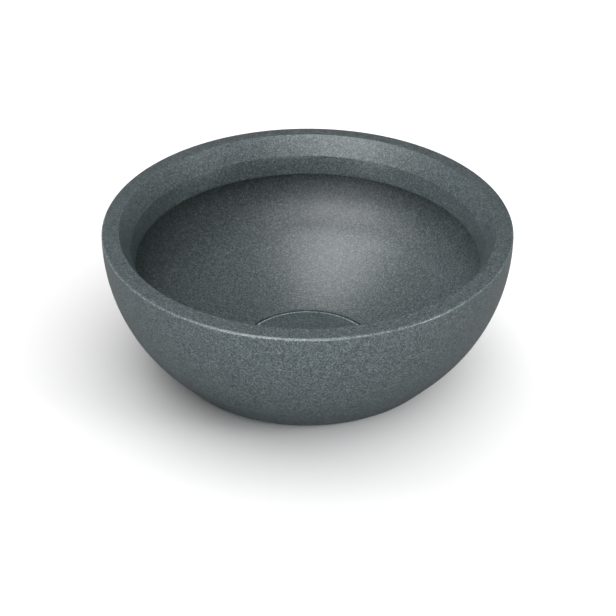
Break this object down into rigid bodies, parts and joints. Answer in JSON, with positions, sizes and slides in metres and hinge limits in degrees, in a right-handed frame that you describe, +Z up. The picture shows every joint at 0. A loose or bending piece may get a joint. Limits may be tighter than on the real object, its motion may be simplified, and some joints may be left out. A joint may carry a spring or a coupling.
{
  "type": "bowl planter",
  "caption": "Low round bowl planter with a folded-in rim, a smooth inside dish with a raised floor disc, and a pull-out drain plug in its middle.",
  "frame": {"origin": "centre of the round foot, in the plane that it stands on", "axes": "+Z up through the mouth, along the axis of the bowl; +X and +Y are any two square directions, because the bowl is round"},
  "size_m": [0.4799, 0.48, 0.1729],
  "materials": {
    "shell": "slate grey granite-effect moulding, fine speckle, satin to matte",
    "plug": "dark grey moulded polyethylene, matte",
    "seal": "black rubber, dull"
  },
  "bodies": {
    "bowl": {"bowl_shell": "shell"},
    "plug": {"drain_plug": "plug", "plug_seal": "seal"}
  },
  "joints": [
    {"name": "plug_pull", "type": "slide", "parent": "bowl", "child": "plug", "axis": [0, 0, 1], "range_m": [0, 0.2]}
  ]
}
